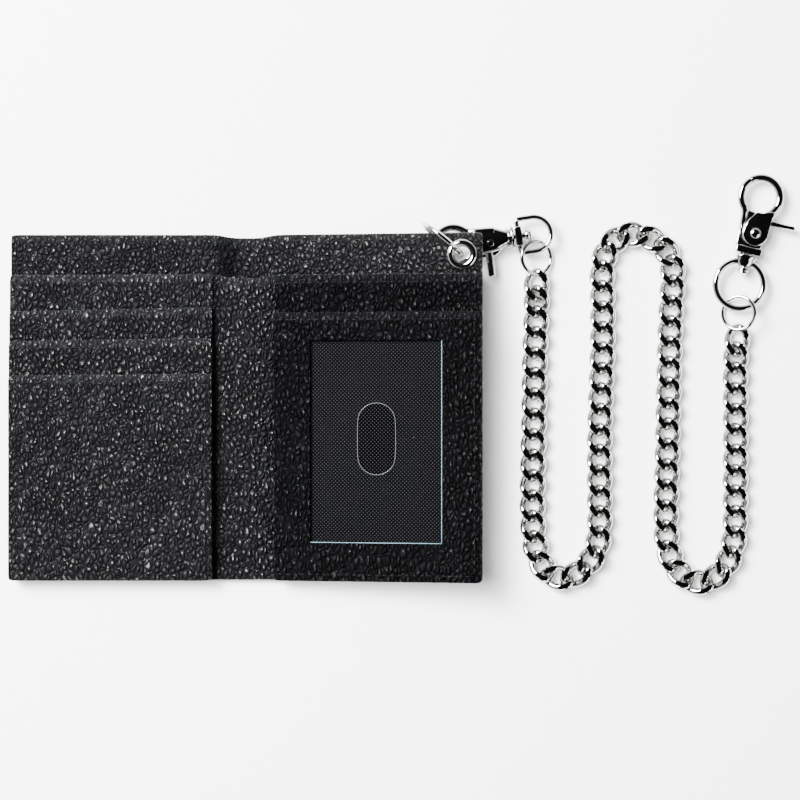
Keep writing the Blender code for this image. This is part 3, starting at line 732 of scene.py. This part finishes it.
for lip in (slipLip, window["lip"]):
    y = lip - lipInset
    rightRows.append(((wallet["spineRight"] + 1.5, y), (rightEdge - 1.5, y)))
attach(seamPiece("leftSeams", leftRows, leftSteps), "left_half")
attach(seamPiece("rightSeams", rightRows, rightSteps), "right_half")
spineRow = [((-9.5, y), (9.5, y)) for y in (dividerLip - lipInset, lowSeam)]
spineSeams = seamPiece("spineSeams", spineRow, [dividerStep])
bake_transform(spineSeams)
print("seams made")


def steelPiece(name, points, faces, body, *replaced, material=nickel, slot="bright_nickel"):
    piece = newPiece(name, points, faces, material, 40)
    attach(piece, body)
    if replaced:
        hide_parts(*replaced)
    return piece


def turnedFaces(rows, sides):
    return gridFaces(np.arange(rows * sides).reshape(rows, sides), True, True)[:, ::-1]


bead = np.linspace(0, math.pi, 12)
flangeMiddle = (eyelet["flange"] + eyelet["hole"]) / 2
flangeHalf = (eyelet["flange"] - eyelet["hole"]) / 2
flangeX, flangeZ = flangeMiddle + flangeHalf * np.cos(bead), 1.5 + 0.95 * np.sin(bead)
rollProfile = [(eyelet["hole"] + 0.15, 0.8), (eyelet["hole"], 0.0), (eyelet["hole"] + 0.1, -0.9),
               (eyelet["barrel"], -0.9), (eyelet["barrel"], 1.45)]
profile = np.vstack([np.stack([flangeX, flangeZ], axis=1), rollProfile])
points = turnedPoints(profile, 64) + np.array([eyelet["x"], eyelet["y"], 0])
steelPiece(
    "eyeletFlange", onRightHalf(points) * mm, turnedFaces(len(profile), 64),
    "right_half", "eyelet",
)
washerProfile = [(3.5, -0.1), (3.5, -0.7), (4.4, -0.8), (5.3, -0.65), (5.4, -0.4), (5.3, -0.12)]
points = turnedPoints(washerProfile, 64) + np.array([eyelet["x"], eyelet["y"], 0])
steelPiece(
    "backWasher", onRightHalf(points) * mm, turnedFaces(len(washerProfile), 64),
    "right_half", "eyelet_washer",
)


# a ring of round wire, turned and then placed
def ringPiece(name, radius, half, centre, turned, body, node, count=96, sides=18):
    angle = np.linspace(0, 2 * math.pi, count, endpoint=False)
    path = radius * np.stack([np.cos(angle), np.sin(angle), 0 * angle], axis=1)
    points = tubePoints(path, half, half, sides, True) @ turned.T + np.array(centre)
    return steelPiece(name, points * mm, tubeFaces(count, sides, True), body, node)


rings = {
    "cornerRing": {"radius": 8.6, "half": 0.85, "centre": (69.68, 59.11, 10.0),
                   "turned": turnedZ(math.radians(-38.6)) @ turnedX(math.pi / 2),
                   "body": "eyelet_ring", "node": "eyelet_ring"},
    "walletJumpRing": {"radius": 5.9, "half": 0.7, "centre": (103.3, 53.1, 3.5),
                       "turned": turnedY(math.radians(26)),
                       "body": "wallet_link_ring", "node": "wallet_link_ring"},
    "beltJumpRing": {"radius": 5.9, "half": 0.7, "centre": (175.2, 33.4, 3.3),
                     "turned": turnedY(math.radians(-26)),
                     "body": "belt_link_ring", "node": "belt_link_ring"},
}
for name, ring in rings.items():
    ringPiece(name, **ring)
print("rings made")


# trigger snaps, in their own frame: X towards the hook, lever at -Y, trigger's face at +Z
snap = {
    "eye": 23.5, "eyeRadius": 6.9, "seam": 44.2, "triggerSeam": 41.5, "heel": -150,
    "pivotX": 10.3, "pivotY": -0.95, "disc": 4.55, "hookHeight": 1.38, "hookFlat": 1.3,
}


# a cast plate: an outline carried up through rows that are drawn in at the bottom and the top,
# so that its edges are rounded. The ends are flat
def castPlate(outline, low, high, edge=0.3):
    outline = np.array(outline, float)
    ahead = np.roll(outline, -1, 0) - np.roll(outline, 1, 0)
    out = np.stack([ahead[:, 1], -ahead[:, 0]], axis=1)
    out /= np.linalg.norm(out, axis=1, keepdims=True)
    turn = np.linspace(0, math.pi / 2, 4)
    inset = np.concatenate([edge * (1 - np.sin(turn)), edge * (1 - np.sin(turn))[::-1]])
    rise = edge * (1 - np.cos(turn))
    height = np.concatenate([low + rise, high - rise[::-1]])
    flat = outline[None] - out[None] * inset[:, None, None]
    level = np.broadcast_to(height[:, None, None], flat.shape[:2] + (1,))
    return np.concatenate([flat, level], axis=2)


def plateFaces(rows, count):
    index = np.arange(rows * count).reshape(rows, count)
    faces = gridFaces(index, False, True)[:, ::-1].tolist()
    return faces + [index[0, ::-1].tolist(), index[-1].tolist()]


# cubic pieces through their middle two points, each sharing its slopes with its neighbours
def cubicPieces(four, each):
    t = (np.arange(each) / each)[None, :, None]
    p0, p1, p2, p3 = (points[:, None] for points in four)
    curve = 0.5 * (
        2 * p1 + (p2 - p0) * t + (2 * p0 - 5 * p1 + 4 * p2 - p3) * t ** 2
        + (3 * p1 - p0 - 3 * p2 + p3) * t ** 3
    )
    return curve.reshape(-1, curve.shape[-1])


# a smooth closed outline through a few points
def smoothOutline(points, each=6):
    points = np.array(points, float)
    return cubicPieces([np.roll(points, shift, 0) for shift in (1, 0, -1, -2)], each)


def joined(*parts):
    points, faces, first = [], [], 0
    for partPoints, partFaces in parts:
        flat = partPoints.reshape(-1, 3)
        points.append(flat)
        faces += [[first + number for number in face] for face in partFaces]
        first += len(flat)
    return np.vstack(points), faces


def hookPart(path, width, height, flat):
    path = np.array(path, float)
    rounded, scale = roundedPath(path, 0.4)
    widths = np.interp(np.linspace(0, 1, len(rounded)), np.linspace(0, 1, len(width)), width)
    points = tubePoints(rounded, widths * scale, height * scale, 20, flat=flat)
    return points, tubeFaces(len(rounded), 20)


def alongX(profile, sides=40):
    points = turnedPoints(profile, sides)
    return points[..., [2, 0, 1]]


def smoothPath(points, each=8):
    points = np.array(points, float)
    padded = np.vstack([2 * points[0] - points[1], points, 2 * points[-1] - points[-2]])
    four = [padded[i:len(padded) - 3 + i] for i in range(4)]
    return np.vstack([cubicPieces(four, each), points[-1:]])


def eyeArc(start, end, count):
    angle = np.radians(np.linspace(start, end, count))
    x = snap["eye"] + snap["eyeRadius"] * np.cos(angle)
    return np.stack([x, snap["eyeRadius"] * np.sin(angle), 0 * angle], axis=1)


squat = np.array([1, 1, 0.62])


def snapParts(tapered):
    stem = smoothPath([
        (8.5, 3.2, -1.0), (11.0, 3.6, -0.9), (14.0, 3.9, -0.7), (16.0, 4.1, -0.35),
        (17.3, 4.35, 0), (18.6, 4.88, 0),
    ], 4)
    crown = smoothPath([
        (3.9, 0.2, -1.1), (6.0, 0.2, -1.1), (9.0, 0.25, -1.15), (15.6, 0.3, -1.2),
    ], 6)
    plate = hookPart(crown, [2.3, 2.5, 3.3, 4.2, 4.8, 4.8], 1.3, 1.25) if tapered else (
        castPlate(smoothOutline([
            (4.6, -3.9), (4.4, 0), (4.6, 4.2), (8.5, 4.75), (12.5, 4.9), (15.2, 5.2), (18.0, 5.6),
            (18.9, 4.4), (18.1, 2.4), (17.7, 0.4), (15.6, -1.6), (13.4, -3.4), (11.0, -4.5),
            (7.6, -4.5),
        ][::-1]), -2.4, 0.05, 0.45), plateFaces(8, 84))
    barrel = (
        alongX([(0.02, 5.3), (2.2, 5.2), (2.3, 4.7), (3.4, 4.45), (3.6, 4.1), (3.6, 3.7),
                (3.15, 3.4), (3.15, 2.9), (4.0, 2.6), (4.2, 2.2), (4.0, 1.7),
                (0.02, 1.62)]) * squat,
        closedFaces(12, 40),
    )
    collar = barrel if tapered else (castPlate(smoothOutline([
        (2.6, -4.1), (2.6, 0), (2.6, 4.1), (3.0, 4.6), (4.9, 4.5), (5.2, 3.6), (5.15, 0),
        (5.2, -3.6), (4.9, -4.5), (3.0, -4.6),
    ][::-1]), -2.3, 2.35, 0.35), plateFaces(8, 60))
    body = joined(
        plate, collar,
        hookPart(np.vstack([stem, eyeArc(136, snap["seam"], 26)]), [1.6, 1.35, 1.4, 1.4, 1.35, 1.3],
                 snap["hookHeight"], snap["hookFlat"]),
    )
    shift = 3.7 if tapered else 0
    lever = smoothPath([
        (15.0 - shift, -3.6, 0.3), (15.0 - shift, -6.0, 0.2), (15.05 - shift, -9.0, 0.0),
        (15.2 - shift, -12.4 if tapered else -13.9, -0.1),
    ], 5)
    around = np.radians(np.arange(75, 295, 20))
    disc = snap["disc"] * np.stack([np.cos(around), np.sin(around)], axis=1)
    plate = [
        *(disc + [snap["pivotX"], snap["pivotY"]]).tolist(),
        (12.6, -5.5), (14.4, -5.6), (16.2, -5.7), (17.6, -6.0), (19.0, -5.6), (18.7, -3.9),
        (17.9, -1.8), (17.7, 0.2), (16.2, 1.4), (14.2, 2.7), (12.4, 3.3),
    ]
    trigger = joined(
        (castPlate(smoothOutline(plate, 4), 0.3, 2.3, 0.35), plateFaces(8, len(plate) * 4)),
        hookPart(eyeArc(snap["heel"], snap["triggerSeam"], 60), [1.3, 1.45, 1.5, 1.5, 1.45, 1.4],
                 snap["hookHeight"], snap["hookFlat"]),
        hookPart(lever, [1.6, 1.45, 1.35, 1.25], 1.25, 1.2) if tapered else (
            hookPart(lever, [1.6, 0.95, 0.8, 0.75], 3.2, 1.4)
        ),
    )
    dome = [(0.02, 3.15), (0.7, 3.08), (1.35, 2.85), (1.8, 2.6), (1.95, 2.42), (1.1, 2.4),
            (1.1, -2.5), (1.9, -2.52), (1.7, -2.8), (0.8, -2.98), (0.02, -3.0)]
    if tapered:
        dome[7:] = [(1.15, -2.43), (1.1, -2.46), (0.6, -2.48), (0.02, -2.48)]
    rivet = turnedPoints(dome, 40) + np.array([snap["pivotX"], snap["pivotY"], 0])
    coil = np.radians(np.linspace(20, 320, 60))
    coilPath = np.stack([
        snap["pivotX"] + 1.9 * np.cos(coil), snap["pivotY"] + 1.9 * np.sin(coil), 0 * coil - 0.3,
    ], axis=1)
    post = alongX([(0.02, 4.5), (1.2, 4.45), (1.2, 2.5), (2.6, 2.48), (2.8, 2.3), (2.6, 2.1),
                   (1.2, 2.08), (1.2, -2.3), (1.9, -2.42), (2.1, -2.7), (2.1, -3.4),
                   (1.75, -3.75), (1.75, -4.3), (1.4, -4.6), (0.02, -4.65)])
    return {
        "body": body, "trigger": trigger,
        "rivet": (rivet, closedFaces(len(dome), 40)),
        "spring": (tubePoints(coilPath, 0.22, 0.22, 10), tubeFaces(60, 10)),
        "post": (post, closedFaces(15, 40)),
    }


# a turned shape with both ends on its axis: each end is one flat cap
def closedFaces(rows, sides):
    index = np.arange(rows * sides).reshape(rows, sides)
    faces = gridFaces(index, False, True).tolist()
    return faces + [index[0].tolist(), index[-1, ::-1].tolist()]


# bell round the post, flattened so that it clears the floor
def bellPart():
    profile = [(0.02, 2.05), (3.3, 2.0), (3.75, 1.75), (3.75, 1.15), (3.3, 0.75), (3.15, -0.4),
               (2.75, -1.6), (2.3, -2.05), (0.02, -2.1)]
    return alongX(profile) * squat, closedFaces(len(profile), 40)


# boss round the post: a square block with rounded edges
def bossPart(halfX, halfY, halfZ):
    outline = smoothOutline([
        (-halfX, -halfY * 0.85), (-halfX, 0), (-halfX, halfY * 0.85), (-halfX * 0.8, halfY),
        (halfX * 0.8, halfY), (halfX, halfY * 0.85), (halfX, 0), (halfX, -halfY * 0.85),
        (halfX * 0.8, -halfY), (-halfX * 0.8, -halfY),
    ])[::-1]
    return castPlate(outline, -halfZ, halfZ, 0.4), plateFaces(8, 60)


def dRingPath():
    half, straight = 6.1, 5.5
    angle = np.linspace(math.pi / 2, math.pi * 1.5, 40)
    bend = np.stack([half * np.cos(angle) - straight, half * np.sin(angle), 0 * angle], axis=1)
    side = np.linspace(0, 1, 8)[1:-1, None]
    arm = lambda a, b: np.array(a) + (np.array(b) - np.array(a)) * side
    corner = 0.9
    bar = arm((0, -half + corner, 0), (0, half - corner, 0))
    turn = np.linspace(0, math.pi / 2, 5)
    upper = corner * np.stack([np.cos(turn) - 1, np.sin(turn) - 1, 0 * turn], axis=1) + [0, half, 0]
    lower = upper[::-1] * np.array([1, -1, 1])
    return np.vstack([
        lower, bar, upper, arm((-corner, half, 0), (-straight, half, 0)), bend,
        arm((-straight, -half, 0), (-corner, -half, 0)),
    ])


def beltRingPath():
    angle = np.linspace(0, 2 * math.pi, 96, endpoint=False)
    return np.stack([8.5 * np.cos(angle) - 8.5, 8.5 * np.sin(angle), 0 * angle], axis=1)


snaps = {
    "wallet_snap": {"boss": (96.9, 60.6, 4.2), "trigger": "wallet_trigger", "ring": "d_ring",
                    "turned": turnedZ(math.radians(189)) @ turnedX(math.pi),
                    "path": dRingPath(), "wire": 0.95, "block": (1.25, 3.4, 2.1)},
    "belt_snap": {"boss": (177.5, 51.8, 3.3), "turned": turnedZ(math.radians(76.4)),
                  "trigger": "belt_trigger", "ring": "belt_swivel_ring", "path": beltRingPath(),
                  "wire": 1.15},
}
for name, place in snaps.items():
    for part, (points, faces) in snapParts(name == "wallet_snap").items():
        world = (points.reshape(-1, 3) @ place["turned"].T + np.array(place["boss"])) * mm
        body = place["trigger"] if part == "trigger" else name
        wire = part == "spring"
        steelPiece(
            name.replace("_", "") + part.title(), world, faces, body, f"{name}_{part}",
            material=springWire if wire else nickel,
            slot="spring_steel" if wire else "bright_nickel",
        )
    loop = tubePoints(place["path"], place["wire"], place["wire"], 18, True)
    boss = bossPart(*place["block"]) if "block" in place else bellPart()
    points, faces = joined((loop, tubeFaces(len(loop), 18, True)), boss)
    world = (points @ place["turned"].T + np.array(place["boss"])) * mm
    steelPiece(place["ring"].replace("_", "") + "Loop", world, faces, place["ring"], place["ring"])
print("snaps made")


chain = {
    "halfLength": 4.97, "halfWidth": 3.47, "wire": 1.34, "twist": 45, "pitch": 7.25, "height": 2.2,
    "flat": 2.14, "around": 44, "sides": 14, "first": 0.5, "last": 1.2, "reach": 4.5,
    "width": 9.6,
}
chainRuns = [
    [(103.4, 45.2), (103.4, 35.0), (102.8, 17.0), (102.6, -0.7), (102.2, -18.5), (102.0, -36.0),
     (102.3, -45.0), (103.9, -53.6), (107.0, -59.2), (111.9, -61.4)],
    [(111.9, -61.4), (117.2, -60.2), (121.2, -56.7), (123.9, -53.1), (125.6, -47.8), (125.9, -39.8),
     (125.8, -18.5), (126.1, -0.7), (126.8, 17.0), (127.0, 34.8), (126.7, 45.5), (127.0, 52.6),
     (128.3, 56.6), (131.0, 59.7), (134.1, 61.5), (138.5, 61.9)],
    [(138.5, 61.9), (143.7, 60.4), (147.9, 58.0), (150.7, 54.8), (152.1, 49.6), (152.1, 45.9),
     (151.4, 36.6), (150.7, 17.9), (150.3, -0.8), (149.9, -19.5), (149.5, -33.5), (149.5, -42.8),
     (150.0, -50.3), (152.1, -56.4), (155.4, -60.6), (160.0, -62.9), (162.3, -63.0)],
    [(162.3, -63.0), (165.1, -62.0), (169.4, -58.7), (172.1, -54.5), (173.5, -48.4), (174.2, -42.8),
     (174.2, -28.8), (174.3, -10.1), (174.2, 8.6), (174.3, 17.9), (175.0, 25.8)],
]
routeSteps = 20
route = smoothPath(chainRuns[0] + sum((run[1:] for run in chainRuns[1:]), []), routeSteps)
travel = np.concatenate([[0], np.cumsum(np.linalg.norm(np.diff(route, axis=0), axis=1))])


def routeAt(distance):
    ends = [np.interp(distance, travel, route[:, axis]) for axis in (0, 1)]
    return np.stack(ends, axis=-1)


# one link: its centre line is an oval that twists about the chain's direction from end to end,
# z = half width times sine of the way round times sine of the twist, and its wire is round with
# the faces that stand highest cut flat
linkTurn = np.linspace(0, 2 * math.pi, chain["around"], endpoint=False)
linkTwist = -math.radians(chain["twist"]) * np.cos(linkTurn)
linkLine = np.stack([
    chain["halfLength"] * np.cos(linkTurn),
    chain["halfWidth"] * np.sin(linkTurn) * np.cos(linkTwist),
    chain["halfWidth"] * np.sin(linkTurn) * np.sin(linkTwist),
], axis=1)
linkMesh = tubePoints(linkLine, chain["wire"], chain["wire"], chain["sides"], True)
linkMesh[..., 2] = np.clip(linkMesh[..., 2], -chain["flat"], chain["flat"])
linkFaces = np.array(tubeFaces(chain["around"], chain["sides"], True))

runEnds = [travel[routeSteps * sum(len(run) - 1 for run in chainRuns[:i + 1])] for i in range(4)]
firstLink = chain["first"]
lastLink = travel[-1] - chain["last"]
linkCount = round((lastLink - firstLink) / chain["pitch"]) + 1
centres = np.linspace(firstLink, lastLink, linkCount)
ahead = routeAt(centres + 3.6) - routeAt(centres - 3.6)
ahead /= np.linalg.norm(ahead, axis=1, keepdims=True)
middle = (routeAt(centres + 3.2) + routeAt(centres - 3.2)) / 2
side = np.stack([-ahead[:, 1], ahead[:, 0]], axis=1)
flatLinks = (
    middle[:, None, None] + linkMesh[None, ..., :1] * ahead[:, None, None]
    + linkMesh[None, ..., 1:2] * side[:, None, None]
)
highLinks = np.broadcast_to(chain["height"] + linkMesh[None, ..., 2:], flatLinks.shape[:3] + (1,))
links = np.concatenate([flatLinks, highLinks], axis=3) * mm
runOf = np.searchsorted(runEnds[:-1], centres)
for number in range(4):
    chosen = links[runOf == number]
    offsets = np.arange(len(chosen)) * linkMesh.size // 3
    faces = (linkFaces[None] + offsets[:, None, None]).reshape(-1, 4)
    piece = newPiece(f"curbChain{number + 1}", chosen, faces, nickel, 26)
    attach(piece, f"chain_run_{number + 1}")
    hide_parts(f"chain_run_{number + 1}")
    low, high = centres[runOf == number][[0, -1]]
    line = routeAt(np.linspace(low - chain["reach"], high + chain["reach"], 60))
    line = np.column_stack([line, np.full(60, chain["height"])]) * mm
print(linkCount, "links made")


# setting: pale floor, soft light, camera straight overhead
floorMaterial, floorTree, floorShader, floorPlace = newMaterial("paleFloor", 0.9)
mottle = newNode(floorTree, "ShaderNodeTexNoise", {"Vector": floorPlace, "Scale": 3.0})
floorTree.links.new(
    mixColour(floorTree, mottle.outputs["Fac"], (0.93, 0.93, 0.94, 1), (0.95, 0.95, 0.95, 1)),
    floorShader.inputs["Base Color"],
)
floorShader.inputs["Specular IOR Level"].default_value = 0.1
floorMesh = bpy.data.meshes.new("floor")
reach = 3.0
floorHeight = -0.0004
floorCorners = [(-reach, -reach), (reach, -reach), (reach, reach), (-reach, reach)]
floorMesh.from_pydata([corner + (floorHeight,) for corner in floorCorners], [], [(0, 1, 2, 3)])
floorMesh.materials.append(floorMaterial)
floor = bpy.data.objects.new("floor", floorMesh)
bpy.context.scene.collection.objects.link(floor)


lightAim = (0.05, 0.0, 0.0)
lamps = {
    "windowLight": {"place": (-0.6, 0.5, 0.85), "size": (0.5, 0.5), "power": 86, "shiny": True},
    "fillLight": {"place": (0.9, -0.5, 0.7), "size": (0.8, 0.5), "power": 6, "shiny": True},
    "floorLight": {"place": (-0.55, 0.3, 1.15), "size": (0.9, 0.9), "power": 72, "shiny": False},
}


def softLight(name, place, size, power, shiny):
    light = bpy.data.lights.new(name, "AREA")
    light.shape = "RECTANGLE"
    light.size, light.size_y = size
    light.energy = power
    lamp = bpy.data.objects.new(name, light)
    lamp.location = place
    lamp.visible_glossy = shiny
    toward = Vector(lightAim) - Vector(place)
    lamp.rotation_mode = "QUATERNION"
    lamp.rotation_quaternion = toward.to_track_quat("-Z", "Y")
    bpy.context.scene.collection.objects.link(lamp)


for name, lamp in lamps.items():
    softLight(name, **lamp)

world = bpy.data.worlds.new("studio")
bpy.context.scene.world = world
world.use_nodes = True
sky = world.node_tree
facing = newNode(sky, "ShaderNodeTexCoord").outputs["Generated"]
upward = newNode(sky, "ShaderNodeSeparateXYZ", {0: facing}).outputs[2]
across = newNode(sky, "ShaderNodeVectorMath", {
    0: facing, 1: (-0.75, 0.6, 0.0),
}, operation="DOT_PRODUCT").outputs["Value"]
band = rangeNode(sky, upward, 0.42, 0.66, 1.0, 0.01)
low = rangeNode(sky, upward, 0.0, 0.42, 0.12, 1.0)
side = rangeNode(sky, across, -0.7, 0.8, 0.3, 1.0)
glow = mathNode(sky, "MULTIPLY", mathNode(sky, "MULTIPLY", band, low), side)
tone = mixColour(sky, glow, (0.0, 0.0, 0.0, 1), (1.0, 1.0, 1.0, 1))
backdrop = sky.nodes["Background"]
sky.links.new(tone, backdrop.inputs["Color"])
backdrop.inputs["Strength"].default_value = 1.5

view = {"place": (0.0548, 0.0025, 0.675), "lens": 85, "sensor": 36}
camera = bpy.data.cameras.new("overhead")
camera.lens, camera.sensor_width = view["lens"], view["sensor"]
cameraObject = bpy.data.objects.new("overhead", camera)
cameraObject.location = view["place"]
bpy.context.scene.collection.objects.link(cameraObject)
bpy.context.scene.camera = cameraObject
print("setting made")
